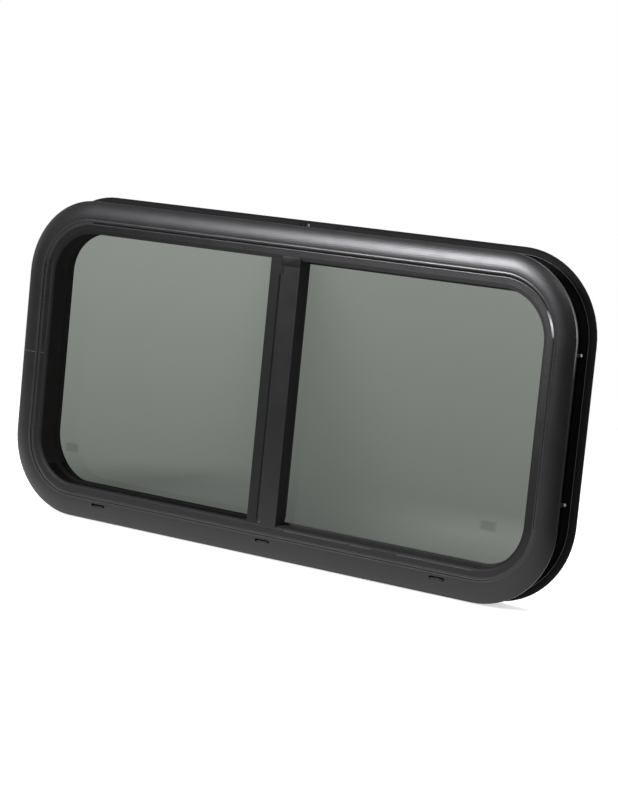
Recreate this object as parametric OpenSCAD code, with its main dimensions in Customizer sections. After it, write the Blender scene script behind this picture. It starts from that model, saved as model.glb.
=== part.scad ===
// Horizontal sliding window for a caravan or camper wall: an aluminium frame bent from one
// extrusion, a fixed pane in the front track, a sliding pane in the rear track, and a clamp
// ring that grips the wall from inside. Millimetres, +Z up, outside face towards -Y.
// The origin lies on the back of the flange (plane y = 0), at the middle of its bottom run.

/* [Overall size] */
// Width of the frame over its flange
frame_w = 620; // [560:5:900]
// Height of the frame over its flange
frame_h = 315; // [290:5:500]
// Outer radius of the frame's corners
corner_r = 77; // [65:1:110]

/* [Frame face] */
// Width of the bowed outer band
band_w = 18.2; // [16:0.1:22]
// Height of the band's crest over the wall
crest_h = 5.8; // [5:0.1:7]
// Thickness of the flange at its outer edge
edge_h = 1.4; // [1:0.1:2]
// Half the angle that the outer band bows through, in degrees
band_bow = 15; // [8:1:18]
// Width of the bead that ends the outer band
bead_w = 2.4; // [1.6:0.1:3]
// Half the angle that the bead bows through, in degrees
bead_bow = 18; // [10:1:30]
// Drop of the step between outer and inner band
step_h = 2; // [1.4:0.1:2.4]
// Width of the flat inner band
inner_band_w = 7.9; // [6:0.1:10]
// Width of the rounded lip inside the inner band
lip_w = 3.9; // [3:0.1:5]
// Drop of the rounded lip
lip_drop = 1.8; // [1:0.1:2]
// Half the angle that the lip bows through, in degrees
lip_bow = 18; // [5:1:22]
// Thickness of the extrusion's walls
wall_t = 1.6; // [1.4:0.1:1.8]
// Width of the hairline where the ends of the bent extrusion meet, on the left
frame_seam = 0.3; // [0.2:0.05:0.6]

/* [Spigot and tracks] */
// Distance from the flange's edge to the spigot that enters the wall
spigot_inset = 14; // [13.6:0.1:15]
// Thickness of the extrusion's wall behind the rear track
back_wall_t = 1.8; // [1.6:0.1:2.4]
// How far the rear track's back leg stops short of the reveal
back_leg_drop = 4.4; // [0:0.1:5]
// Thickness of each pane
glass_t = 4; // [3.6:0.1:4.2]
// Depth of the fixed pane's outer face
fixed_glass_y = 12.4; // [11.5:0.1:12.8]
// Depth of the sliding pane's outer face
sliding_glass_y = 25.8; // [25.2:0.1:26]
// Room beside a pane inside its track
track_play = 1.4; // [1.2:0.1:1.5]
// Depth of a track below the reveal
track_depth = 10; // [8:0.5:10]
// Length of glass that stands in a track
glass_bite = 8; // [6:0.5:8]

/* [Drain slots] */
// Length of a drain slot
drain_l = 16.5; // [10:0.5:24]
// Width of a drain slot
drain_w = 3; // [2:0.1:3.2]
// Distance from an outer drain slot's middle to the corner's bend
drain_margin = 37; // [20:1:80]
// Distance by which the outer slots sit to the right of even places
drain_shift = 1.4; // [0:0.1:4]
// Distance from the window's middle to the middle slot
drain_mid_x = 4.8; // [0:0.1:10]
// Distance from a drain slot to the step
drain_edge = 0.9; // [0.6:0.1:1.5]

/* [Mullion] */
// Width of the mullion with its cover strip
mullion_w = 33.4; // [30:0.1:38]
// Width of the cover strip on the mullion's left
strip_w = 12.2; // [10:0.1:14]
// Width of the groove between strip and mullion
strip_gap = 0.5; // [0.3:0.1:0.8]
// Distance by which the strip lies behind the mullion's face
strip_back = 0.5; // [0.2:0.1:1]
// Distance by which the mullion's face lies behind the inner band
mullion_sink = 0.1; // [0.05:0.05:0.5]
// Height of the blocks behind the mullion's ends
block_h = 12; // [8:0.5:16]

/* [Sliding pane's stile and catch] */
// Distance from the window's middle to the sliding pane's free edge
slide_past = 2.3; // [1:0.1:3]
// Width of the stile
stile_w = 20; // [16:0.5:20]
// Thickness of the stile's outer wall
stile_skin = 1.2; // [1:0.1:1.3]
// Thickness of the stile behind the pane
stile_back = 3; // [2:0.1:4]
// Width of the catch
catch_w = 10; // [8:0.5:10]
// Distance between the catch's screws
catch_pitch = 38; // [30:1:50]
// Thickness of the catch's body
catch_t = 4; // [3.5:0.1:5]

/* [Clamp ring] */
// Wall thickness that the flange and the ring grip
wall_gap = 27; // [25:0.1:28]
// Distance by which the ring reaches out past the flange
ring_out = 2.9; // [2:0.1:5]
// Distance from the flange's edge in to the ring's lip on the wall
ring_lip = 3.6; // [2:0.1:5]
// Depth of the ring's rounded front behind its lip
ring_nose = 2.8; // [2:0.1:3.2]
// Width of the ring's rounded shoulder
ring_shoulder = 15.4; // [12:0.1:18]
// Thickness of the ring's sheet
ring_t = 1.8; // [1.5:0.1:2]
// Distance by which the ring sits higher than the frame's middle
ring_lift = 1.8; // [0:0.1:2]
// Width of the cut where the ring's ends meet at the top
ring_cut = 0.8; // [0.5:0.1:2]
// Distance from the window's middle to that cut
ring_cut_x = -3; // [-20:1:20]
// Distance from that cut to the rivets beside it
rivet_margin = 4.6; // [4:0.1:12]
// Distance between the two rivets right of the cut
rivet_pitch = 32; // [24:1:60]
// Distance from the upper clamp screw of a side to the corner's bend
side_screw_top = 7.5; // [6:0.5:30]
// Distance from the lower clamp screw of a side to the corner's bend
side_screw_bottom = 20.5; // [6:0.5:30]
// Distance from the outer clamp screws of the top and bottom to the corner's bend
long_screw_margin = 38; // [10:1:80]
// Diameter of a clamp screw
screw_d = 3.5; // [3:0.1:3.6]
// Height of a clamp screw's head
screw_head = 2; // [1.5:0.1:2.5]

/* [Hidden] */

$fn = 48;
eps = 0.02;
fit = 0.1;

// Screw port: a groove in the flange's back that the clamp screws bite into
port_w = screw_d + fit;
port_depth = 2.6;
port_land = 0.9;
port_u = spigot_inset - port_w / 2 - port_land;

// Insets from the flange's outer edge, and depths behind the wall plane (outwards is negative)
seat_mid = (port_u - port_w / 2) / 2;
mid_z = frame_h / 2 - seat_mid;
step_run = 0.5;
crown = 0.5;
band_y = -(crest_h - step_h);
step_u = band_w + bead_w;
lip_u = step_u + inner_band_w;
reveal_u = lip_u + lip_w;
reveal_y = band_y + lip_drop;
track_u = reveal_u - track_depth;
back_u = reveal_u - back_leg_drop;
glass_u = reveal_u - glass_bite;
front_track = [fixed_glass_y - track_play, fixed_glass_y + glass_t + track_play];
rear_track = [sliding_glass_y - track_play, sliding_glass_y + glass_t + track_play];
spigot_depth = rear_track[1] + back_wall_t;

// Half sizes of the opening between the reveals, and half lengths of the straight runs
open_hw = frame_w / 2 - reveal_u;
open_hh = frame_h / 2 - reveal_u;
run_hw = frame_w / 2 - corner_r;
run_hh = frame_h / 2 - corner_r;

// Mullion's edges across the window
mullion_l = -mullion_w / 2;
mullion_r = mullion_w / 2;
strip_r = mullion_l + strip_w;
body_l = strip_r + strip_gap;
mullion_face = -band_y - mullion_sink;
mullion_back = front_track[0] + 0.2;
web_h = 8;
edge_bite = 6;
block_gap = 8.7;
block_x = [mullion_l + 1, mullion_r - edge_bite - block_gap];
block_screw_x = (mullion_l + strip_r) / 2;
block_screw_d = 2.5;
brush_x = mullion_l + 5;
brush_w = 6;

// Sliding pane's right end and its stile, under the mullion
stile_r = slide_past + 1.2;
stile_l = stile_r - stile_w;
stile_hh = open_hh - 3;
stile_y = [sliding_glass_y - stile_skin, sliding_glass_y + glass_t + stile_back];
catch_x = stile_r - stile_w / 2;
fin_gap = 0.4;
fin_w = 2.4;

// Clamp ring's depths
plate_y = spigot_depth + fit;
room_y = plate_y + ring_t;
nose_y = wall_gap + ring_nose;
rivet_u = 1.2;
rivet_d = 1.6;
rivet_head_d = 2.6;
joint_t = 0.9;
joint_h = 3;
joint_end = 5;

// Heights of the seals over the reveal, and a brush's distance from its pane
outer_gasket_h = 2.3;
inner_gasket_h = 1.5;
outer_brush_h = -0.2;
brush_play = 0.15;

// Blocks and gliders under the panes, and the catch's parts
block_l = 30;
block_margin = 60;
glider_l = 24;
catch_screw_d = 2.8;
pivot_d = 6;
lever_l = 14;
lever_t = 3.3;

// Points of a shallow arc from a to b
function arc_points(a, b, bow, n) =
    let (d = b - a, len = norm(d), r = len / 2 / sin(bow), m = (a + b) / 2,
         up = [-d[1], d[0]] / len, c = m - up * r * cos(bow), a0 = atan2(a[1] - c[1], a[0] - c[0]))
    [for (i = [0 : n]) c + r * [cos(a0 - 2 * bow * i / n), sin(a0 - 2 * bow * i / n)]];

// Points of a quarter ellipse about c: from [-rx, 0] at step 0 to [0, ry] at step n
function quarter(c, rx, ry, n) =
    [for (i = [0 : n]) c + [-rx * cos(90 * i / n), ry * sin(90 * i / n)]];

function backwards(points) = [for (i = [len(points) - 1 : -1 : 0]) points[i]];

// Turns window coordinates (across, up, outwards) into the part's frame
module stand() {
    translate([0, 0, mid_z]) rotate([90, 0, 0]) children();
}

// A straight run of a profile along the side that faces the angle a
module run(a, half_side, len, shift = 0) {
    rotate([0, 0, a]) translate([half_side, len / 2 + shift, 0]) rotate([90, 0, 0])
        linear_extrude(height = len) children();
}

// A quarter bend of a profile in the corner (sx, sy)
module bend(sx, sy) {
    a = sx > 0 ? (sy > 0 ? 0 : 270) : (sy > 0 ? 90 : 180);
    translate([sx * run_hw, sy * run_hh, 0]) rotate([0, 0, a])
        rotate_extrude(angle = 90, $fn = 96) translate([corner_r, 0]) children();
}

// A profile carried all round the window; it is drawn as (-inset, outwards)
module all_round() {
    run(0, frame_w / 2, 2 * run_hh) children();
    run(180, frame_w / 2, 2 * run_hh) children();
    run(90, frame_h / 2, 2 * run_hw) children();
    run(270, frame_h / 2, 2 * run_hw) children();
    for (sx = [-1, 1]) for (sy = [-1, 1]) bend(sx, sy) children();
}

// The same round one pane only: the side s, its two bends, and the runs up to x_end from the middle
module round_pane(s, x_end) {
    len = run_hw - x_end;
    mid = x_end + len / 2;
    run(s > 0 ? 0 : 180, frame_w / 2, 2 * run_hh) children();
    run(90, frame_h / 2, len, -s * mid) children();
    run(270, frame_h / 2, len, s * mid) children();
    for (sy = [-1, 1]) bend(s, sy) children();
}

// A rectangle from inset u0 to u1 and from depth y0 to y1, as a profile
module strip_profile(u0, u1, y0, y1) {
    translate([-u1, -y1]) square([u1 - u0, y1 - y0]);
}

module frame_outline() {
    band = arc_points([0, edge_h], [band_w, crest_h], band_bow, 10);
    bead = arc_points([band_w, crest_h], [step_u, crest_h], bead_bow, 6);
    lip = arc_points([lip_u, -band_y], [reveal_u, -reveal_y], lip_bow, 5);
    step = [[step_u, crest_h - 0.4], [step_u + step_run, -band_y]];
    rest = [[reveal_u, -front_track[0]], [track_u, -front_track[0]], [track_u, -front_track[1]],
            [reveal_u, -front_track[1]], [reveal_u, -rear_track[0]], [track_u, -rear_track[0]],
            [track_u, -rear_track[1]], [back_u, -rear_track[1]], [back_u, -spigot_depth],
            [spigot_inset, -spigot_depth], [spigot_inset, 0], [port_u + port_w / 2, 0],
            [port_u + port_w / 2, port_depth], [port_u - port_w / 2, port_depth],
            [port_u - port_w / 2, 0], [0, 0]];
    polygon([for (p = concat(band, [for (i = [1 : 6]) bead[i]], step, lip, rest)) [-p[0], p[1]]]);
}

// The hollow inside the extrusion, which carries water from the tracks to the drain slots
module frame_hollow() {
    in_u = track_u - wall_t;
    lip_in = reveal_u - wall_t;
    points = [[spigot_inset + wall_t, crest_h - crown - wall_t], [step_u - 1, crest_h - crown - wall_t],
              [step_u, -band_y - wall_t], [lip_u - 0.5, -band_y - wall_t], [lip_in, -reveal_y - wall_t],
              [lip_in, -front_track[0] + wall_t], [in_u, -front_track[0] + wall_t],
              [in_u, -front_track[1] - wall_t], [lip_in, -front_track[1] - wall_t],
              [lip_in, -rear_track[0] + wall_t], [in_u, -rear_track[0] + wall_t],
              [in_u, -spigot_depth + wall_t], [spigot_inset + wall_t, -spigot_depth + wall_t]];
    polygon([for (p = points) [-p[0], p[1]]]);
}

module drain_slot() {
    translate([0, -frame_h / 2 + band_w - drain_w / 2 - drain_edge, -band_y - wall_t - 0.2])
        linear_extrude(height = crest_h) union() {
            square([drain_l - drain_w, drain_w], center = true);
            for (s = [-1, 1]) translate([s * (drain_l - drain_w) / 2, 0]) circle(d = drain_w);
        }
}

module outer_frame() {
    color([0.2, 0.2, 0.21]) stand() difference() {
        all_round() difference() {
            frame_outline();
            frame_hollow();
        }
        for (i = [-1, 1]) translate([i * (run_hw - drain_margin) + drain_shift, 0, 0]) drain_slot();
        translate([drain_mid_x, 0, 0]) drain_slot();
        box([-frame_w / 2 - 1, -open_hw + 1], [-frame_seam / 2, frame_seam / 2],
            [-spigot_depth - 1, crest_h + 1]);
    }
}

module front_track_infill() {
    color([0.12, 0.12, 0.12]) stand() round_pane(-1, -mullion_l)
        strip_profile(track_u + fit, reveal_u - 0.2, front_track[0] + fit, front_track[1] - fit);
}

// Side outline of a bar that spans the opening, as (up, outwards): its ends lie on the rounded lip
module bar_side(face, back) {
    top = open_hh - fit;
    lip = arc_points([0, -reveal_y], [lip_w, -band_y], lip_bow, 5);
    slope = [for (p = lip) if (p[1] + fit < face) [top + p[0], p[1] + fit]];
    end = concat(slope, [[slope[len(slope) - 1][0], face]]);
    polygon(concat([[top, -back]], end, [for (p = backwards(end)) [-p[0], p[1]]], [[-top, -back]]));
}

module bar(x0, x1, face, back) {
    translate([x0, 0, 0]) rotate([90, 0, 90]) linear_extrude(height = x1 - x0) bar_side(face, back);
}

module box(x, y, z) {
    translate([x[0], y[0], z[0]]) cube([x[1] - x[0], y[1] - y[0], z[1] - z[0]]);
}

// A bar of the mullion: a face and two side walls, open behind between its end webs
module mullion_bar(x0, x1, face) {
    difference() {
        bar(x0, x1, face, mullion_back);
        box([x0 + wall_t, x1 - wall_t], [-open_hh + web_h, open_hh - web_h],
            [-mullion_back - 1, face - wall_t]);
    }
}

module mullion() {
    color([0.21, 0.21, 0.22]) stand() mullion_bar(body_l, mullion_r, mullion_face);
}

module mullion_cover_strip() {
    color([0.24, 0.25, 0.24]) stand() mullion_bar(mullion_l, strip_r, mullion_face - strip_back);
}

// Blocks behind the mullion's ends, between it and the sliding pane
module mullion_block(s) {
    near = open_hh - block_h;
    far = open_hh - fit;
    stand() difference() {
        box(block_x, s > 0 ? [near, far] : [-far, -near], [-stile_y[0] + 0.3, -mullion_back - 0.05]);
        translate([block_screw_x, s * (open_hh - block_h / 2), -stile_y[0]])
            cylinder(d = block_screw_d + fit, h = stile_y[0]);
    }
}

module mullion_head_block() {
    color([0.1, 0.1, 0.1]) mullion_block(1);
}

module mullion_foot_block() {
    color([0.1, 0.1, 0.1]) mullion_block(-1);
}

module mullion_screws() {
    color([0.75, 0.75, 0.77]) stand() for (s = [-1, 1])
        translate([block_screw_x, s * (open_hh - block_h / 2), -stile_y[0] + 0.4])
            cylinder(d = block_screw_d, h = stile_y[0] - mullion_back - 0.5);
}

// Brush on the mullion's back that closes the gap to the sliding pane
module mullion_brush() {
    color([0.08, 0.08, 0.08]) stand()
        box([brush_x, brush_x + brush_w], [-open_hh + block_h + 0.2, open_hh - block_h - 0.2],
            [-stile_y[0] + 0.3, -mullion_back - fit]);
}

// Outline of a pane: rounded at the corners on side s, square at x_end
module pane_outline(s, x_end, edge_u) {
    r = corner_r - edge_u;
    hw = frame_w / 2 - edge_u;
    hh = frame_h / 2 - edge_u;
    scale([s, 1]) union() {
        translate([x_end, -hh]) square([hw - r - x_end, 2 * hh]);
        translate([hw - r - eps, -hh + r]) square([r + eps, 2 * (hh - r)]);
        for (sy = [-1, 1]) translate([hw - r, sy * (hh - r)]) circle(r = r, $fn = 96);
    }
}

module pane(s, x_end, y) {
    translate([0, 0, -y - glass_t]) linear_extrude(height = glass_t) pane_outline(s, x_end, glass_u);
}

module fixed_glass() {
    color([0.5, 0.54, 0.5, 0.6]) stand() pane(1, mullion_r - edge_bite, fixed_glass_y);
}

module fixed_glass_outer_gasket() {
    color([0.07, 0.07, 0.07]) stand() round_pane(1, mullion_r + 0.2)
        strip_profile(glass_u, reveal_u + outer_gasket_h, front_track[0] + fit, fixed_glass_y - 0.05);
}

module fixed_glass_inner_gasket() {
    color([0.07, 0.07, 0.07]) stand() round_pane(1, mullion_r + 0.2)
        strip_profile(glass_u, reveal_u + inner_gasket_h, fixed_glass_y + glass_t + 0.05,
                      front_track[1] - fit);
}

// A piece under a pane's lower edge, as long as l and centred on x
module pane_foot(x, l, y) {
    translate([x - l / 2, -frame_h / 2 + track_u + 0.05, -y - glass_t])
        cube([l, track_depth - glass_bite - 0.1, glass_t]);
}

// Setting blocks that the fixed pane stands on
module fixed_glass_blocks() {
    color([0.1, 0.1, 0.1]) stand() for (x = [mullion_r + block_margin, run_hw - block_margin])
        pane_foot(x, block_l, fixed_glass_y);
}

// Tape between the mullion's back and the fixed pane
module fixed_glass_edge_pad() {
    color([0.07, 0.07, 0.07]) stand()
        box([mullion_r - edge_bite + 0.2, mullion_r - 0.2], [-open_hh + 0.3, open_hh - 0.3],
            [-fixed_glass_y + 0.05, -mullion_back - 0.05]);
}

module sliding_glass() {
    color([0.5, 0.54, 0.5, 0.6]) stand() pane(-1, -slide_past, sliding_glass_y);
}

module sliding_brush(u_top, y0, y1) {
    color([0.08, 0.08, 0.08]) stand() round_pane(-1, -mullion_l)
        strip_profile(glass_u, u_top, y0, y1);
}

module sliding_outer_brush() {
    sliding_brush(reveal_u + outer_brush_h, rear_track[0] + fit, sliding_glass_y - brush_play);
}

module sliding_inner_brush() {
    sliding_brush(back_u, sliding_glass_y + glass_t + brush_play, rear_track[1] - fit);
}

// Channel pushed over the sliding pane's free edge
module sliding_stile() {
    color([0.2, 0.2, 0.21]) stand() difference() {
        box([stile_l, stile_r], [-stile_hh, stile_hh], [-stile_y[1], -stile_y[0]]);
        box([stile_l - 1, slide_past + fit], [-stile_hh - 1, stile_hh + 1],
            [-sliding_glass_y - glass_t - fit, -sliding_glass_y + fit]);
    }
}

// Fin on the mullion's back that the closed stile meets
module stile_fin() {
    color([0.08, 0.08, 0.08]) stand()
        box([stile_r + fin_gap, stile_r + fin_gap + fin_w], [-stile_hh, stile_hh],
            [-sliding_glass_y - glass_t, -mullion_back - fit]);
}

module sliding_gliders() {
    color([0.85, 0.85, 0.82]) stand() for (x = [-mullion_r - block_margin, -run_hw + block_margin])
        pane_foot(x, glider_l, sliding_glass_y);
}

// The catch's own frame: on the room side of the stile, seen from outside, with +Z towards the stile
module on_stile() {
    stand() translate([catch_x, 0, -stile_y[1] - catch_t - fit]) children();
}

module catch_body() {
    color([0.1, 0.1, 0.1]) on_stile() difference() {
        linear_extrude(height = catch_t) union() {
            square([catch_w, catch_pitch - 4], center = true);
            for (s = [-1, 1]) translate([0, s * (catch_pitch / 2 - 2)]) circle(d = catch_w);
        }
        for (s = [-1, 1]) translate([0, s * catch_pitch / 2, -1])
            cylinder(d = catch_screw_d + 0.2, h = catch_t + 2);
        translate([0, 0, -1]) cylinder(d = pivot_d + 0.2, h = catch_t - 0.5);
    }
}

module catch_lever() {
    color([0.14, 0.14, 0.14]) on_stile() union() {
        translate([0, 0, -0.2]) cylinder(d = pivot_d, h = catch_t - 1.5);
        translate([0, 0, -0.1 - lever_t]) linear_extrude(height = lever_t) union() {
            translate([-pivot_d / 2, 0]) square([pivot_d, lever_l]);
            circle(d = catch_w - 5);
            translate([0, lever_l]) circle(d = pivot_d);
        }
    }
}

module catch_screws() {
    color([0.75, 0.75, 0.77]) on_stile() for (s = [-1, 1]) translate([0, s * catch_pitch / 2, 0]) {
        translate([0, 0, -1.25]) cylinder(d = 1.8 * catch_screw_d, h = 1.2);
        translate([0, 0, -0.1]) cylinder(d = catch_screw_d, h = catch_t + 0.1);
    }
}

// The ring's sheet: a rounded nose from the lip on the wall, a rounded shoulder, and a flat plate
module ring_profile() {
    c = [ring_shoulder - ring_out, nose_y];
    rise = room_y - nose_y;
    nose = quarter([ring_lip, nose_y], ring_lip + ring_out, -ring_nose, 6);
    outer = quarter(c, ring_shoulder, rise, 10);
    inner = quarter(c, ring_shoulder - ring_t, rise - ring_t, 10);
    end = back_u - 0.6;
    points = concat(backwards(nose), [for (i = [1 : 10]) outer[i]],
                    [[end - 1, room_y], [end, room_y - 0.6], [end, plate_y]], backwards(inner),
                    [[ring_lip, nose_y]]);
    polygon([for (p = points) [-p[0], -p[1]]]);
}

module screw_places(side) {
    s = side == "top" || side == "right" ? 1 : -1;
    if (side == "top" || side == "bottom")
        for (i = [-1 : 2 / 3 : 1])
            translate([i * (run_hw - long_screw_margin), s * (frame_h / 2 - port_u), 0]) children();
    else
        for (y = [run_hh - side_screw_top, -run_hh + side_screw_bottom])
            translate([s * (frame_w / 2 - port_u), y, 0]) children();
}

module rivet_places() {
    for (x = [-rivet_margin, rivet_margin, rivet_margin + rivet_pitch])
        translate([ring_cut_x + x, frame_h / 2 - rivet_u + ring_lift, 0]) children();
}

module clamp_ring() {
    color([0.13, 0.13, 0.13]) stand() difference() {
        translate([0, ring_lift, 0]) all_round() ring_profile();
        for (side = ["top", "bottom", "left", "right"]) screw_places(side)
            translate([0, 0, -room_y - 1]) cylinder(d = screw_d + 0.6, h = ring_t + 2);
        rivet_places() translate([0, 0, -nose_y - 1]) cylinder(d = rivet_d + fit, h = ring_nose + 2);
        box([ring_cut_x - ring_cut / 2, ring_cut_x + ring_cut / 2], [0, frame_h], [-room_y - 1, 0]);
    }
}

// Plate across the cut in the ring, behind its nose
module ring_joint_plate() {
    z = frame_h / 2 - rivet_u + ring_lift;
    color([0.3, 0.3, 0.3]) stand() difference() {
        box([ring_cut_x - rivet_margin - joint_end, ring_cut_x + rivet_margin + rivet_pitch + joint_end],
            [z - joint_h / 2, z + joint_h / 2], [-nose_y - 0.1 - joint_t, -nose_y - 0.1]);
        rivet_places() translate([0, 0, -nose_y - 2]) cylinder(d = rivet_d + fit, h = 3);
    }
}

module ring_joint_rivets() {
    color([0.7, 0.7, 0.7]) stand() rivet_places() {
        translate([0, 0, -wall_gap + 0.05]) cylinder(d = rivet_head_d, h = 0.5);
        translate([0, 0, -nose_y - 0.1 - joint_t]) cylinder(d = rivet_d, h = ring_nose + joint_t + 0.2);
    }
}

module clamp_screw() {
    translate([0, 0, -room_y - screw_head - 0.05]) cylinder(d = 2 * screw_d, h = screw_head);
    translate([0, 0, -room_y - 0.1]) cylinder(d = screw_d, h = room_y + port_depth - 0.2);
}

module clamp_screws(side) {
    color([0.8, 0.8, 0.82]) stand() screw_places(side) clamp_screw();
}

module clamp_screws_top() {
    clamp_screws("top");
}

module clamp_screws_bottom() {
    clamp_screws("bottom");
}

module clamp_screws_left() {
    clamp_screws("left");
}

module clamp_screws_right() {
    clamp_screws("right");
}

outer_frame();
front_track_infill();
mullion();
mullion_cover_strip();
mullion_head_block();
mullion_foot_block();
mullion_screws();
mullion_brush();
fixed_glass();
fixed_glass_outer_gasket();
fixed_glass_inner_gasket();
fixed_glass_blocks();
fixed_glass_edge_pad();
sliding_glass();
sliding_outer_brush();
sliding_inner_brush();
sliding_stile();
stile_fin();
sliding_gliders();
catch_body();
catch_lever();
catch_screws();
clamp_ring();
ring_joint_plate();
ring_joint_rivets();
clamp_screws_top();
clamp_screws_bottom();
clamp_screws_left();
clamp_screws_right();
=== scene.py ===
import math

import bmesh
import bpy
from mathutils import Euler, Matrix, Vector


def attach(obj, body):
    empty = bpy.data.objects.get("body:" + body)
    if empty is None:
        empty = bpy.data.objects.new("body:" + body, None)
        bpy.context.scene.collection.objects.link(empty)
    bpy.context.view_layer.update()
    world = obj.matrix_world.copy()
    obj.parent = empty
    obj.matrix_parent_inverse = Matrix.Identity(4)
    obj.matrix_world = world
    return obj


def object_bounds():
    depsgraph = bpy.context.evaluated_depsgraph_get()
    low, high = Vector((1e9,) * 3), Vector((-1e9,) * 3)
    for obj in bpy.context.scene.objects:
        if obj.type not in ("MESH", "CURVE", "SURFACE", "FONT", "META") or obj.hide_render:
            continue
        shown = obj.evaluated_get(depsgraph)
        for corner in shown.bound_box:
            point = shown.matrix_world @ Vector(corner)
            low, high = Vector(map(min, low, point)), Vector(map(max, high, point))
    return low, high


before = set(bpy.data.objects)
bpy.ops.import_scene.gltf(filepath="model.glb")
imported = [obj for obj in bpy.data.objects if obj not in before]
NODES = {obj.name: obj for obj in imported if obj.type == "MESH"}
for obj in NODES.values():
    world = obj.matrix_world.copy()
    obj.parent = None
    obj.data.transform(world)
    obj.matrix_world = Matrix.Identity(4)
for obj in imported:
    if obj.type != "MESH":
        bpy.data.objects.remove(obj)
CAD_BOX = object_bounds()

# Sizes in metres, as in the part's source: the flange, its corners, and the front of the inner band
W = 0.620
H = 0.315
R = 0.077
MID_Z = 0.15275
TOP_Z = MID_Z + H / 2
BOTTOM_Z = MID_Z - H / 2
FACE_Y = -0.0037

# Zones of the frame's face, by how far they are inside the flange's outline
EDGE = 0.0006
BEAD = (0.0182, 0.0212)
LIP = 0.0285
REVEAL = 0.0324
# The reveal's walls and tracks reach this far out behind the lip
TRACKS_OUT = 0.012
# The lip's zone is shifted outwards by this much
LIP_SHIFT = 0.00005
# The face lies in front of the one, and the reveal's walls and tracks behind the other, in y
FACE_BACK_Y = -0.001
REVEAL_FRONT_Y = -0.0021
# Below and above these, a face belongs to the bottom or the top run
LOW_Z = MID_Z - 0.08
HIGH_Z = MID_Z + 0.08
# A face whose normal has more than this along an axis faces that way
FACING = 0.7


def link(obj):
    bpy.context.scene.collection.objects.link(obj)
    return obj


def make_camera():
    """The camera at the photograph's viewing angle, fitted to its edges."""
    data = bpy.data.cameras.new("camera")
    data.sensor_width = 36
    data.lens = 104.27
    cam = link(bpy.data.objects.new("camera", data))
    cam.location = (1.2148, -1.7982, 0.3857)
    cam.rotation_euler = Euler([math.radians(a) for a in (83.721, -5.589, 33.805)], "XYZ")
    bpy.context.scene.camera = cam


class Graph:
    """A short way to write a node tree."""

    def __init__(self, tree):
        self.tree = tree
        tree.nodes.clear()

    def add(self, kind, inputs=None, **props):
        n = self.tree.nodes.new(kind)
        for k, v in props.items():
            setattr(n, k, v)
        for k, v in (inputs or {}).items():
            self.put(n.inputs[k], v)
        return n

    def put(self, socket, value):
        if isinstance(value, bpy.types.NodeSocket):
            self.tree.links.new(value, socket)
        else:
            socket.default_value = value

    def ramp(self, fac, stops, mode="LINEAR"):
        n = self.add("ShaderNodeValToRGB", {"Fac": fac})
        n.color_ramp.interpolation = mode
        e = n.color_ramp.elements
        while len(e) < len(stops):
            e.new(0.5)
        for s, (pos, col) in zip(e, stops):
            s.position = pos
            s.color = (col, col, col, 1) if isinstance(col, (int, float)) else (*col, 1)
        return n.outputs["Color"]

    def mix(self, fac, a, b, blend="MIX"):
        n = self.add("ShaderNodeMix", data_type="RGBA", blend_type=blend)
        self.put(n.inputs[0], fac)
        self.put(n.inputs[6], (*a, 1) if isinstance(a, tuple) and len(a) == 3 else a)
        self.put(n.inputs[7], (*b, 1) if isinstance(b, tuple) and len(b) == 3 else b)
        return n.outputs[2]

    def math(self, op, a, b=0.0, c=0.0):
        n = self.add("ShaderNodeMath", operation=op)
        for s, v in zip(n.inputs, (a, b, c)):
            self.put(s, v)
        return n.outputs[0]

    def fade(self, value, start, end, first=0.0, last=1.0):
        """From first to last while the value goes from start to end."""
        return self.add("ShaderNodeMapRange", {0: value, 1: start, 2: end, 3: first, 4: last}).outputs[0]

    def place(self):
        """The shaded point's x, y and z on its object."""
        here = self.add("ShaderNodeTexCoord").outputs["Object"]
        return self.add("ShaderNodeSeparateXYZ", {0: here}).outputs

    def noise(self, scale, detail, rough, stretch=None):
        coord = self.add("ShaderNodeTexCoord").outputs["Object"]
        if stretch:
            coord = self.add("ShaderNodeMapping", {"Vector": coord, "Scale": stretch}).outputs[0]
        return self.add("ShaderNodeTexNoise", {"Vector": coord, "Scale": scale, "Detail": detail,
                                               "Roughness": rough}).outputs["Fac"]

    def bump(self, height, strength, distance, soften=None):
        """A normal from a height in metres, over edges that are softened by a radius in metres."""
        n = self.add("ShaderNodeBump", {"Height": height, "Strength": strength, "Distance": distance})
        if soften:
            bevel = self.add("ShaderNodeBevel", {"Radius": soften}, samples=4).outputs[0]
            self.put(n.inputs["Normal"], bevel)
        return n.outputs[0]

    def glow(self, colour, strength=1.0):
        return self.add("ShaderNodeEmission", {"Color": colour, "Strength": strength}).outputs[0]

    def blend(self, fac, a, b):
        """One shader where fac is 0 and the other where it is 1."""
        return self.add("ShaderNodeMixShader", {0: fac, 1: a, 2: b}).outputs[0]


def material(name):
    m = bpy.data.materials.new(name)
    m.use_nodes = True
    return m, Graph(m.node_tree)


def finish_material(g, shader):
    g.add("ShaderNodeOutputMaterial", {"Surface": shader})


def finish_surface(g, inputs):
    finish_material(g, g.add("ShaderNodeBsdfPrincipled", inputs).outputs[0])


# Where the painted light towards the upper right fades in, in z and in x, and where the painted light on
# the right half does, in x
PAINTED_LIGHT_Z = (0.10, 0.26)
PAINTED_LIGHT_X = (-0.22, 0.26)
RIGHT_X = (-0.02, 0.02)


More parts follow.
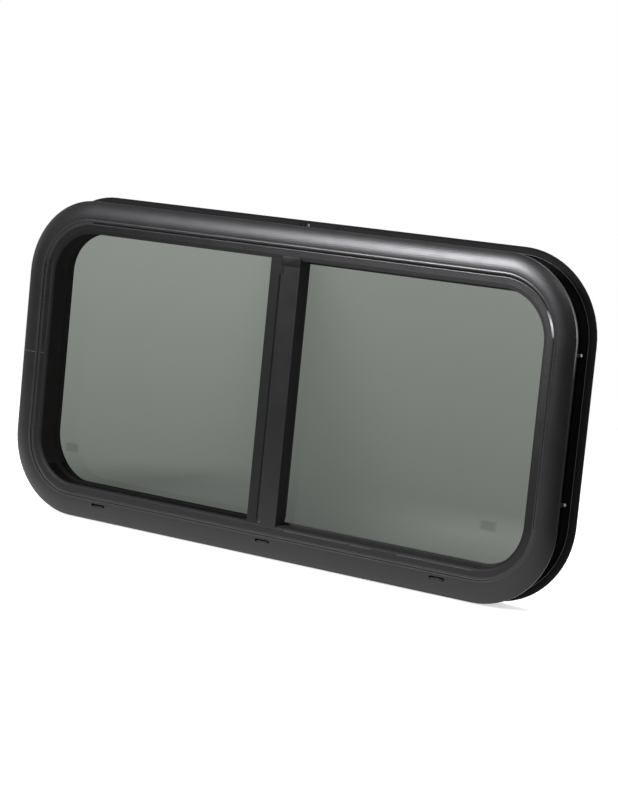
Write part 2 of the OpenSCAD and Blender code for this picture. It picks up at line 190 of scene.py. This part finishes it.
def satin_metal(name, base, rough, spec=0.5, painted_light_top=None, painted_light_spot=None, painted_light_right=None):
    """Black anodised or powder-coated aluminium: a fine grain in height, colour and gloss.
    A lighter grey painted where light falls is painted light: one part towards the upper right, one in
    the right half, and one a painted highlight round one height, given as z, how far it reaches up and
    down, and the grey."""
    m, g = material(name)
    fine = g.noise(9000, 2, 0.6)
    cloud = g.noise(14, 4, 0.6)
    wide = g.noise(55, 3, 0.6)
    tone = g.math("MULTIPLY_ADD", cloud, 0.30, 0.86)
    col = g.mix(1.0, base, g.mix(tone, (0, 0, 0), (1.05, 1.04, 1.06)), "MULTIPLY")
    x, _, z = g.place()
    if painted_light_spot:
        spot_z, half, grey = painted_light_spot
        off = g.math("ABSOLUTE", g.math("SUBTRACT", z, spot_z))
        col = g.mix(g.fade(off, 0.0, half, 1.0, 0.0), col, (grey,) * 3)
    if painted_light_right:
        col = g.mix(g.fade(x, *RIGHT_X), col, (painted_light_right,) * 3)
    if painted_light_top:
        painted_light = g.math("MULTIPLY", g.fade(z, *PAINTED_LIGHT_Z), g.fade(x, *PAINTED_LIGHT_X))
        col = g.mix(painted_light, col, (painted_light_top,) * 3)
    r = g.math("MULTIPLY_ADD", wide, 0.10, rough - 0.05)
    r = g.math("MULTIPLY_ADD", fine, 0.06, r)
    finish_surface(g, {"Base Color": col, "Roughness": r, "Specular IOR Level": spec, "Metallic": 0.0,
                       "Normal": g.bump(fine, 0.35, 0.00003, soften=0.00028)})
    return m


def plastic(name, base, rough=0.5, grain=1800, spec=0.5):
    """Moulded plastic or rubber with a matt grain, finer where grain is higher."""
    m, g = material(name)
    fine = g.noise(grain, 3, 0.6)
    wide = g.noise(40, 3, 0.6)
    tone = g.math("MULTIPLY_ADD", wide, 0.3, 0.85)
    col = g.mix(1.0, base, g.mix(tone, (0, 0, 0), (1, 1, 1)), "MULTIPLY")
    r = g.math("MULTIPLY_ADD", fine, 0.14, rough - 0.07)
    finish_surface(g, {"Base Color": col, "Roughness": r, "Specular IOR Level": spec,
                       "Normal": g.bump(fine, 0.4, 0.00004, soften=0.0002)})
    return m


def pile(name):
    """The dense upright fibres of a brush seal."""
    m, g = material(name)
    fibres = g.noise(1400, 2, 0.7, (1.0, 0.25, 1.0))
    col = g.ramp(fibres, [(0.3, 0.010), (0.55, 0.026), (0.8, 0.06)])
    finish_surface(g, {"Base Color": col, "Roughness": 0.9, "Specular IOR Level": 0.1,
                       "Normal": g.bump(fibres, 0.9, 0.0004)})
    return m


def zinc(name, dark=1.0):
    """Zinc-plated steel with its spangle. A dark below 1 dims it."""
    m, g = material(name)
    fine = g.noise(2600, 3, 0.6)
    spots = g.noise(500, 3, 0.6)
    col = g.ramp(spots, [(0.3, (0.52 * dark, 0.53 * dark, 0.55 * dark)),
                         (0.7, (0.78 * dark, 0.78 * dark, 0.76 * dark))])
    r = g.math("MULTIPLY_ADD", spots, 0.25, 0.22)
    finish_surface(g, {"Base Color": col, "Roughness": r, "Metallic": 1.0,
                       "Normal": g.bump(fine, 0.3, 0.00004)})
    return m


# Half the width and height of a pane's frosted patch, and the share of them where its edge begins
PATCH = (0.0085, 0.0046)
PATCH_EDGE = 0.86


def glass(name, tint, mark):
    """Grey-green tinted toughened glass, clear and glossy, with one plain frosted patch at x, z."""
    m, g = material(name)
    wave = g.noise(7, 2, 0.5)
    dust = g.noise(900, 4, 0.7)
    col = g.mix(g.math("MULTIPLY_ADD", wave, 0.5, 0.25), tint, tuple(c * 1.08 for c in tint))
    x, _, z = g.place()
    dx = g.math("DIVIDE", g.math("ABSOLUTE", g.math("SUBTRACT", x, mark[0])), PATCH[0])
    dz = g.math("DIVIDE", g.math("ABSOLUTE", g.math("SUBTRACT", z, mark[1])), PATCH[1])
    frost = g.fade(g.math("MAXIMUM", dx, dz), PATCH_EDGE, 1.0, 1.0, 0.0)
    frost = g.math("MULTIPLY", frost, g.math("MULTIPLY_ADD", dust, 0.7, 0.45))
    col = g.mix(g.math("MULTIPLY", frost, 0.34), col, (0.05, 0.055, 0.05))
    finish_surface(g, {"Base Color": col, "Roughness": g.math("MULTIPLY", frost, 0.12),
                       "Transmission Weight": 1.0, "IOR": 1.22, "Normal": g.bump(wave, 0.05, 0.0005)})
    return m


# The frame's black metal, zone by zone
FRAME_BLACK = satin_metal("frame_black", (0.005, 0.005, 0.0053), 0.285)
STRIP_BLACK = satin_metal("strip_black", (0.0042, 0.0050, 0.0043), 0.34, 0.24)
RING_BLACK = satin_metal("ring_black", (0.0090, 0.0090, 0.0094), 0.5, 0.06)
# The lip and the inner band: a lighter grey towards the upper right, painted light
LIP_BLACK = satin_metal("lip_black", (0.004, 0.004, 0.0042), 0.5, 0.2, painted_light_top=0.026)
REVEAL_BLACK = satin_metal("reveal_black", (0.0125, 0.0127, 0.0120), 0.75, 0.05)
INNER_BLACK = satin_metal("inner_black", (0.0040, 0.0040, 0.0042), 0.255, 0.38, painted_light_top=0.032)
# The sill, whose faces look up: a darker copy than the reveal's walls, painted shade, with painted light
# on its right half
SILL_BLACK = satin_metal("sill_black", (0.0035, 0.0038, 0.0032), 0.75, 0.05, painted_light_right=0.032)
# The mullion's side walls: a lighter, duller copy of its black, chosen by which way a face looks, painted
# light
WALL_BLACK = satin_metal("wall_black", (0.0200, 0.0203, 0.0200), 0.75, 0.05)
MULLION_BLACK = satin_metal("mullion_black", (0.0035, 0.0035, 0.0037), 0.3, 0.42)
# The bead and the flange's outer edge: a lighter copy of the frame's black, a painted highlight line;
# along the bottom run a less light copy
BEAD_BLACK = satin_metal("bead_black", (0.0135, 0.0135, 0.0140), 0.26)
LOW_BEAD = satin_metal("bead_low", (0.0090, 0.0090, 0.0094), 0.5, 0.4)
# Painted shade: a darker, duller copy for the crease in the hollow
CREASE_SHADE = satin_metal("crease_painted_shade", (0.0040, 0.0040, 0.0042), 0.6, 0.12)
# Painted highlight: a lighter band round one height on the flange's edge
EDGE_BLACK = satin_metal("edge_black", (0.006, 0.006, 0.0063), 0.3, painted_light_spot=(0.247, 0.04, 0.22))
# Painted highlights: a light band on the bead's streak at the upper right and on the low run's at the
# lower right
STREAK = satin_metal("bead_streak_painted_highlight", (0.008, 0.008, 0.0084), 0.3, painted_light_spot=(0.2515, 0.013, 0.55))
LOW_STREAK = satin_metal("bead_low_streak_painted_highlight", (0.0090, 0.0090, 0.0094), 0.45, 0.45,
                         painted_light_spot=(0.045, 0.03, 0.05))
# A light grey for thin light lines: on the ring's lip it is a painted highlight
LIGHT_LINE_GREY = satin_metal("light_line_grey", (0.055, 0.055, 0.057), 0.35)
# The other materials
# A dark strip in the mullion's groove, painted shade
GROOVE = plastic("groove_painted_shade", (0.0055, 0.0055, 0.0055), 0.8, spec=0.08)
# A light speck at the mullion's foot, a painted glint
SPECK = plastic("painted_glint_speck", (0.07, 0.07, 0.067), grain=900)
SPECKLE = plastic("lip_speckle", (0.045, 0.045, 0.044), grain=700)
RUBBER = plastic("rubber_black", (0.008, 0.008, 0.008), 0.6, 1200)
BLACK_PLASTIC = plastic("plastic_black", (0.010, 0.010, 0.011))
INFILL = plastic("infill_black", (0.0150, 0.0153, 0.0143), 0.8, spec=0.05)
WHITE_PLASTIC = plastic("plastic_white", (0.70, 0.69, 0.65), 0.45)
# A light grey that paints a glint on the screw collars' outer sides
COLLAR = plastic("collar_painted_glint", (0.82, 0.82, 0.80), 0.4)
PILE = pile("brush_pile")
ZINC = zinc("zinc")
RIVET = zinc("rivet_grey", 0.22)
GLASS_LEFT = glass("glass_tinted_left", (0.246, 0.268, 0.243), (-0.2600, 0.0580))
GLASS_RIGHT = glass("glass_tinted_right", (0.219, 0.239, 0.216), (0.2335, 0.0635))


def inset(p):
    """How far a point is inside the flange's rounded outline."""
    qx = abs(p.x) - (W / 2 - R)
    qz = abs(p.z - MID_Z) - (H / 2 - R)
    return R - math.hypot(max(qx, 0), max(qz, 0)) - min(max(qx, qz), 0)


def dress(mesh, mats, choose=None):
    """Give a mesh its materials. Where there are several, choose says which of them a face gets."""
    mesh.materials.clear()
    for m in mats:
        mesh.materials.append(m)
    if choose:
        for f in mesh.polygons:
            f.material_index = mats.index(choose(f))


def frame_zone(f):
    """The lip, the reveal's sill and walls, the bead and the outer edge, the inner band, or the rest."""
    u = inset(f.center)
    on_face = f.center.y < FACE_BACK_Y
    if on_face and LIP - LIP_SHIFT < u < REVEAL - LIP_SHIFT:
        return LIP_BLACK
    if f.center.y > REVEAL_FRONT_Y and u > REVEAL - TRACKS_OUT:
        # Faces that look up get the sill's darker copy, the rest the walls' lighter one: painted shade
        # and light
        return SILL_BLACK if f.normal.z > FACING else REVEAL_BLACK
    # The bead and the outer edge get the lighter copy, a painted highlight line, less light on the bottom
    # run
    if on_face and (BEAD[0] < u < BEAD[1] or u < EDGE):
        return LOW_BEAD if f.center.z < LOW_Z else BEAD_BLACK
    if on_face and BEAD[1] < u < LIP:
        return INNER_BLACK
    return FRAME_BLACK


# Each solid's material, where it has only one
DRESS = {
    FRAME_BLACK: ["sliding_stile"],
    STRIP_BLACK: ["mullion_cover_strip"],
    RING_BLACK: ["clamp_ring", "ring_joint_plate"],
    RUBBER: ["fixed_glass_outer_gasket", "fixed_glass_inner_gasket", "fixed_glass_edge_pad", "stile_fin"],
    INFILL: ["front_track_infill"],
    BLACK_PLASTIC: ["mullion_head_block", "mullion_foot_block", "fixed_glass_blocks", "catch_body",
                    "catch_lever"],
    WHITE_PLASTIC: ["sliding_gliders"],
    PILE: ["mullion_brush", "sliding_outer_brush", "sliding_inner_brush"],
    ZINC: ["mullion_screws", "catch_screws", "clamp_screws_top", "clamp_screws_bottom",
           "clamp_screws_left", "clamp_screws_right"],
    GLASS_LEFT: ["sliding_glass"],
    GLASS_RIGHT: ["fixed_glass"],
}
for mat, names in DRESS.items():
    for node in names:
        dress(NODES[node].data, [mat])

dress(NODES["outer_frame"].data,
      [FRAME_BLACK, LIP_BLACK, REVEAL_BLACK, BEAD_BLACK, SILL_BLACK, LOW_BEAD, INNER_BLACK], frame_zone)
# Faces that look sideways get the walls' lighter copy: painted light
dress(NODES["mullion"].data, [MULLION_BLACK, WALL_BLACK],
      lambda f: WALL_BLACK if abs(f.normal.x) > FACING else MULLION_BLACK)
# Only one of the ring joint's rivets is bare: its place in x, and how far from there its faces reach
WORN_RIVET_X, RIVET_REACH = 0.0016, 0.004
dress(NODES["ring_joint_rivets"].data, [RIVET, RING_BLACK],
      lambda f: RIVET if abs(f.center.x - WORN_RIVET_X) < RIVET_REACH else RING_BLACK)


def loft(name, rings, closed=False, runs=None):
    """A mesh over rings of points, with faces from each ring to the next. A closed one also joins the
    last ring to the first, and runs picks some of its spans. An open one has a cap at each end."""
    bm = bmesh.new()
    rings = [[bm.verts.new(p) for p in ring] for ring in rings]
    n = len(rings[0])
    for i in runs or range(len(rings) if closed else len(rings) - 1):
        a, b = rings[i], rings[(i + 1) % len(rings)]
        for k in range(n):
            bm.faces.new((a[k], a[(k + 1) % n], b[(k + 1) % n], b[k]))
    if not closed:
        bm.faces.new(rings[0])
        bm.faces.new(rings[-1])
    bmesh.ops.recalc_face_normals(bm, faces=bm.faces)
    mesh = bpy.data.meshes.new(name)
    bm.to_mesh(mesh)
    bm.free()
    return mesh


def piece(mesh, mat, smooth=25):
    """An own piece of the scene, named as its mesh: its material, and the angle in degrees over which
    its edges stay sharp."""
    mesh.materials.append(mat)
    obj = link(bpy.data.objects.new(mesh.name, mesh))
    mesh.shade_smooth()
    mesh.set_sharp_from_angle(angle=math.radians(smooth))
    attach(obj, "root")
    return obj


# Steps of a quarter turn on a plate's front edge and round its corners
EDGE_STEPS = 3
CORNER_STEPS = 6


def rounded(x0, x1, z0, z1, r):
    """Outline of a rectangle with round corners."""
    out = []
    for cx, cz, a0 in ((x1 - r, z0 + r, -90), (x1 - r, z1 - r, 0),
                       (x0 + r, z1 - r, 90), (x0 + r, z0 + r, 180)):
        for i in range(CORNER_STEPS + 1):
            a = math.radians(a0 + 90 * i / CORNER_STEPS)
            out.append((cx + r * math.cos(a), cz + r * math.sin(a)))
    return out


def plate(name, box, corner, y_front, y_back, edge, mat):
    """A thin plate over a box of x0, x1, z0 and z1 with round corners and a rounded front edge."""
    outline = rounded(*box, corner)
    n = len(outline)
    cx = sum(p[0] for p in outline) / n
    cz = sum(p[1] for p in outline) / n
    hw = max(abs(p[0] - cx) for p in outline)
    hh = max(abs(p[1] - cz) for p in outline)
    rows = [(0.0, y_back)]
    for k in range(EDGE_STEPS + 1):
        a = math.pi / 2 * k / EDGE_STEPS
        rows.append((edge * (1 - math.cos(a)), y_front + edge * (1 - math.sin(a))))
    rings = []
    for inner, y in rows:
        fx, fz = 1 - inner / hw, 1 - inner / hh
        rings.append([(cx + (p[0] - cx) * fx, y, cz + (p[1] - cz) * fz) for p in outline])
    return piece(loft(name, rings), mat)


# Stations of a sweep at each of the outline's corners
STATIONS = 25


def all_round(name, profile, lift=0.0, runs=None):
    """A closed profile of (inset, y) points swept round the flange's outline, lift metres higher.
    The spans start at the top right corner's lower end and go over the top. Runs picks some of them."""
    hw, hh = W / 2 - R, H / 2 - R
    rings = []
    for sx, sz, a0 in ((1, 1, 0), (-1, 1, 90), (-1, -1, 180), (1, -1, 270)):
        for i in range(STATIONS):
            a = math.radians(a0 + 90 * i / (STATIONS - 1))
            cx, cz, nx, nz = sx * hw, sz * hh, math.cos(a), math.sin(a)
            rings.append([(cx + nx * (R - u), y, MID_Z + lift + cz + nz * (R - u)) for u, y in profile])
    return loft(name, rings, closed=True, runs=runs)


def rod(u, y, r, step):
    """A round profile of radius r about an inset and a depth, with a point every step degrees."""
    return [(u + r * math.cos(math.radians(a)), y + r * math.sin(math.radians(a)))
            for a in range(0, 360, step)]


def arc(a, b, bow, n):
    """Points of a shallow arc from a to b, as in the part's source."""
    a, b, half = Vector(a), Vector(b), math.radians(bow)
    r = (b - a).length / 2 / math.sin(half)
    up = Vector((a.y - b.y, b.x - a.x)).normalized()
    c = (a + b) / 2 - up * r * math.cos(half)
    a0 = math.atan2(a.y - c.y, a.x - c.x)
    return [(c.x + r * math.cos(a0 - 2 * half * i / n), c.y + r * math.sin(a0 - 2 * half * i / n))
            for i in range(n + 1)]


# The bead that ends the outer band, and the hollow that leads from it to the inner band:
# inset and height over the flange's back, in millimetres
BEAD_LINE = [
    (17.9, 5.70), (18.3, 5.83), (18.8, 5.93), (19.3, 5.97), (19.8, 5.92), (20.2, 5.72), (20.5, 5.40),
    (20.75, 5.0), (20.95, 4.6), (21.2, 4.27), (21.6, 4.00), (22.0, 3.86), (22.4, 3.80), (22.7, 3.85),
    (22.95, 3.90), (23.3, 3.89), (23.6, 3.80), (23.6, 3.60), (20.3, 3.60), (17.9, 5.30)]
# The painted shade in the hollow's crease: its insets, the x from which it shows in the top run, and the
# x from which it goes all the way down
CREASE = (0.0205, 0.0223)
CREASE_X, CREASE_RIGHT_X = -0.08, 0.2
# The painted highlight streak at the upper right, and the one on the bead at the lower right
STREAK_U, STREAK_X, STREAK_Z = 0.0214, 0.27, (0.239, 0.264)
LOW_STREAK_X = 0.24


def bead_zone(f):
    """The low run and its painted highlight streak, the painted highlight streak at the upper right, the
    crease with its painted shade, or the rest of the bead.
    """
    x, _, z = f.center
    u = inset(f.center)
    if z < LOW_Z:
        return LOW_STREAK if x > LOW_STREAK_X and u < CREASE[0] else LOW_BEAD
    if u > STREAK_U and x > STREAK_X and STREAK_Z[0] < z < STREAK_Z[1]:
        return STREAK
    if CREASE[0] < u < CREASE[1] and (x > CREASE_RIGHT_X or (x > CREASE_X and z > HIGH_Z)):
        return CREASE_SHADE
    return BEAD_BLACK


bead = piece(all_round("face_bead", [(u / 1000, -h / 1000) for u, h in BEAD_LINE]),
             BEAD_BLACK, 50)
dress(bead.data, [BEAD_BLACK, LOW_BEAD, CREASE_SHADE, STREAK, LOW_STREAK], bead_zone)

# The ring's front lip, a thin light line painted as a highlight. The ring stands higher than the flange.
RING_LIFT = 0.0018
piece(all_round("ring_lip_edge", rod(0.0036, 0.02705, 0.00034, 36), RING_LIFT),
      LIGHT_LINE_GREY, 60)

# The flange's outer edge down its right side and round most of the upper right corner, where a stretch of
# it is painted lighter as a highlight
RIGHT_SIDE, UPPER_RIGHT = [4 * STATIONS - 1], list(range(18))
piece(all_round("flange_edge", rod(0.0005, -0.0014, 0.00048, 30), runs=RIGHT_SIDE + UPPER_RIGHT),
      EDGE_BLACK, 60)

# The light line where the frame's two ends meet, over the left side's band and inner band: half its
# height, and how far it stands over the metal and reaches into it, the last two in millimetres
SEAM_HALF = 0.00022
SEAM_OVER, SEAM_INTO = 0.08, 0.3
rows = []
for u, h in arc((0, 1.4), (18.2, 5.8), 15, 10) + [(20.4, 5.7), (21.4, 3.8), (28.4, 3.7)]:
    x, front, back = u / 1000 - W / 2, -(h + SEAM_OVER) / 1000, -(h - SEAM_INTO) / 1000
    rows.append([(x, y, MID_Z + dz) for y, dz in ((front, -SEAM_HALF), (front, SEAM_HALF),
                                                 (back, SEAM_HALF), (back, -SEAM_HALF))])
piece(loft("frame_seam_line", rows), LIGHT_LINE_GREY, 40)

# Light marks on the lip under the fixed pane, partly scuffs and partly painted highlights: both ends in
# x, and the inset
SCUFFS_AND_HIGHLIGHTS = ((0.027, 0.098, 0.0292), (0.101, 0.124, 0.0289), (0.152, 0.231, 0.0290))
for i, (x0, x1, u) in enumerate(SCUFFS_AND_HIGHLIGHTS, 1):
    z = BOTTOM_Z + u
    plate("lip_scuff_%d" % i, (x0, x1, z - 0.0003, z + 0.0003), 0.0002, -0.0039, -0.0030, 0.0001,
          SPECKLE)

# Collars on the two clamp screws behind the flange's right side: their profile of y and radius, and
# which of their sides are painted light grey as a glint, the ones that face outwards
COLLAR_X = 0.2987
COLLAR_Z = (TOP_Z - R - 0.0075, BOTTOM_Z + R + 0.0205)
COLLAR_LINE = ((0.0268, 0.0017), (0.0268, 0.0022), (0.0270, 0.0024), (0.0282, 0.0024),
               (0.0284, 0.0022), (0.0284, 0.0017))
COLLAR_SIDES = 24
GLINT_SIDES = (22, 23, 0, 1, 2)
TURNS = [2 * math.pi * k / COLLAR_SIDES for k in range(COLLAR_SIDES)]
for i, z in enumerate(COLLAR_Z, 1):
    rings = [[(COLLAR_X + r * math.cos(a), y, z + r * math.sin(a)) for a in TURNS]
             for y, r in COLLAR_LINE]
    collar = piece(loft("clamp_screw_collar_%d" % i, rings, closed=True), COLLAR, 30)
    dress(collar.data, [COLLAR, RING_BLACK],
          lambda f: COLLAR if f.index % COLLAR_SIDES in GLINT_SIDES else RING_BLACK)

# Cap over the mullion's head, and a dark plate under its left corner, a painted shadow
plate("mullion_head_cap", (-0.0037, 0.0164, 0.2716, 0.2813), 0.0007, FACE_Y - 0.00022, FACE_Y + 0.0002,
      0.0001, STRIP_BLACK)
plate("mullion_head_shadow_plate", (-0.0036, -0.0006, 0.2640, 0.2712), 0.0009, FACE_Y - 0.00008, FACE_Y + 0.0002,
      0.00006, INFILL)

# A dark strip in the groove between the mullion and its cover strip, a painted shade, and a light speck
# at its foot, a painted glint
plate("mullion_groove", (-0.0062, -0.0039, 0.0302, 0.2636), 0.0004, FACE_Y + 0.0001, FACE_Y + 0.0009,
      0.0002, GROOVE)
plate("foot_glint_speck", (-0.0026, -0.0008, 0.0275, 0.0289), 0.0006, FACE_Y - 0.00045, FACE_Y + 0.0003,
      0.0003, SPECK)

# Punched tabs that half close the drain slots
SLOTS_X = (-0.1946, 0.0048, 0.1974)
SLOT_Z = BOTTOM_Z + 0.0158
for i, x in enumerate(SLOTS_X, 1):
    plate("drain_tab_%d" % i, (x - 0.0080, x + 0.0058, SLOT_Z - 0.0014, SLOT_Z - 0.0002), 0.0006,
          -0.0047, -0.0040, 0.00015, FRAME_BLACK)


# Studio: a pale floor just under the window, a white surround for the camera, and soft lamps
FLOOR_Z = CAD_BOX[0].z - 0.0002
FLOOR_RADIUS = 6.0
FLOOR_SIDES = 96
FLOOR_LIFT = 0.6
WHITE = (1, 1, 1, 1)
# The floor's brightness by the distance from the window, from an eighth of a metre, three halvings of
# 1 m, and on through six doublings. Distance to the sides counts for less.
HALVINGS, DOUBLINGS = 3.0, 6.0
SIDE_WEIGHT = 0.4
# What shows through the glass, darker near the window: a painted shadow. What a gloss sees, bright near
# the window: a painted reflection.
SEEN_THROUGH = [(0.0, 0.34), (0.11, 0.42), (0.22, 0.54), (0.30, 0.66), (0.50, 0.79), (0.71, 0.92),
                (0.85, 1.0)]
SEEN_IN_GLOSS = [(0.0, 1.25), (0.2, 0.85), (0.33, 0.42), (0.5, 0.18), (0.7, 0.09), (1.0, 0.07)]
TURNS_WHITE = [(0.3, 0.0), (0.6, 1.0)]
# A factor on it through the panes' lowest part, a painted shade and light, from 0.6 m left of the
# window's middle to 0.3 m right, and the distances between which the factor fades out
SEEN_CLOSE = [(0.05, 1.0), (0.17, 1.0), (0.29, 0.75), (0.38, 0.94), (0.57, 1.19), (0.70, 1.48),
              (0.8, 1.48)]
CLOSE_LEFT, CLOSE_SPAN = 0.6, 0.9
CLOSE_ENDS = (0.34, 0.5)
# A painted shadow: a darker stripe that shows through the panes: how it slants, its middle, its width and
# its depth
STRIPE_SLANT, STRIPE_AT, STRIPE_WIDTH, STRIPE_DEPTH = 0.676, 0.05, 0.11, 0.22
# Painted reflection: a gloss sees a darker floor right of the window: between which x it darkens, and to
# what share
DARK_RIGHT_X, DARK_RIGHT = (0.25, 0.45), 0.15
# Brightness that a gloss sees in the room, from straight in front to straight behind
ROOM = [(0.0, 0.10), (0.12, 0.14), (0.27, 0.35), (0.5, 0.8), (1.0, 0.9)]


def floor_material():
    """A pale floor: its real shade and shadow near the window, the white background away from it.
    What shows through the glass is a glow, darker near the window, a painted shadow; what a gloss sees is
    a glow, bright near the window and darker away from it and to the right, a painted reflection."""
    m, g = material("floor_white")
    fine = g.noise(90, 3, 0.6)
    matt = g.add("ShaderNodeBsdfDiffuse", {"Color": g.ramp(fine, [(0.0, 0.86), (1.0, 0.9)])}).outputs[0]
    near = g.add("ShaderNodeAddShader", {0: matt, 1: g.glow(WHITE, FLOOR_LIFT)}).outputs[0]
    x, y, _ = g.place()
    across = g.math("MULTIPLY", x, SIDE_WEIGHT)
    away = g.math("SQRT", g.math("ADD", g.math("MULTIPLY", across, across), g.math("MULTIPLY", y, y)))
    steps = g.math("DIVIDE", g.math("ADD", g.math("LOGARITHM", away, 2.0), HALVINGS), DOUBLINGS)
    slant = g.math("SUBTRACT", g.math("MULTIPLY_ADD", y, STRIPE_SLANT, x), STRIPE_AT)
    slant = g.math("DIVIDE", slant, STRIPE_WIDTH)
    dip = g.math("EXPONENT", g.math("MULTIPLY", g.math("MULTIPLY", slant, slant), -1.0))
    dip = g.math("MULTIPLY_ADD", dip, -STRIPE_DEPTH, 1.0)
    through = g.mix(1.0, g.ramp(steps, SEEN_THROUGH), dip, "MULTIPLY")
    lean = g.ramp(g.math("DIVIDE", g.math("ADD", x, CLOSE_LEFT), CLOSE_SPAN), SEEN_CLOSE)
    close = g.fade(away, *CLOSE_ENDS, 1.0, 0.0)
    through = g.mix(close, through, g.mix(1.0, through, lean, "MULTIPLY"))
    side = g.fade(x, *DARK_RIGHT_X, 1.0, DARK_RIGHT)
    gloss = g.mix(1.0, g.ramp(steps, SEEN_IN_GLOSS), side, "MULTIPLY")
    camera = g.blend(g.ramp(steps, TURNS_WHITE, "EASE"), near, g.glow(WHITE))
    path = g.add("ShaderNodeLightPath").outputs
    both = g.blend(path["Is Camera Ray"], matt, camera)
    both = g.blend(path["Is Glossy Ray"], both, g.glow(gloss))
    both = g.blend(path["Is Transmission Ray"], both, g.glow(through))
    finish_material(g, both)
    return m


def make_floor():
    mesh = bpy.data.meshes.new("floor")
    turns = [2 * math.pi * i / FLOOR_SIDES for i in range(FLOOR_SIDES)]
    verts = [(FLOOR_RADIUS * math.cos(a), FLOOR_RADIUS * math.sin(a), FLOOR_Z) for a in turns]
    mesh.from_pydata(verts, [], [list(range(FLOOR_SIDES))])
    mesh.materials.append(floor_material())
    floor = link(bpy.data.objects.new("floor", mesh))


def make_world():
    """White for the camera and through the glass. For a gloss, a room dark in front and bright behind."""
    world = bpy.data.worlds.new("studio")
    bpy.context.scene.world = world
    world.use_nodes = True
    g = Graph(world.node_tree)
    path = g.add("ShaderNodeLightPath").outputs
    seen = g.math("MAXIMUM", path["Is Camera Ray"], path["Is Transmission Ray"])
    way = g.add("ShaderNodeTexCoord").outputs["Generated"]
    front = g.add("ShaderNodeSeparateXYZ", {0: way}).outputs[1]
    room = g.ramp(g.math("MULTIPLY_ADD", front, 0.5, 0.5), ROOM)
    dim = g.add("ShaderNodeBackground", {"Color": room, "Strength": 1.0}).outputs[0]
    white = g.add("ShaderNodeBackground", {"Color": WHITE, "Strength": 1.0}).outputs[0]
    g.add("ShaderNodeOutputWorld", {"Surface": g.blend(seen, dim, white)})


def soft_box(name, at, target, size, power, colour=(1, 1, 1)):
    data = bpy.data.lights.new(name, "AREA")
    data.shape = "RECTANGLE"
    data.size, data.size_y = size
    data.energy = power
    data.color = colour
    lamp = link(bpy.data.objects.new(name, data))
    lamp.location = at
    lamp.rotation_euler = (Vector(target) - Vector(at)).to_track_quat("-Z", "Y").to_euler()


make_camera()
make_world()
make_floor()
# The lamp in front on the left gives the top band its highlight, and the others the plain light
soft_box("strip", (-0.90, -2.0, 1.03), (0.1, 0, 0.3), (0.47, 0.69), 55, (0.97, 0.95, 1.0))
soft_box("overhead", (0.3, 0.5, 2.2), (0, 0, 0.15), (1.6, 1.6), 20)
soft_box("front", (0.9, -2.2, 2.0), (0, 0, 0.15), (1.2, 1.2), 12)
bpy.context.scene.view_settings.view_transform = "Standard"

# Edges of the solids that turn by more than this many degrees stay sharp
CAD_SMOOTH = 28
for o in NODES.values():
    o.data.shade_smooth()
    o.data.set_sharp_from_angle(angle=math.radians(CAD_SMOOTH))
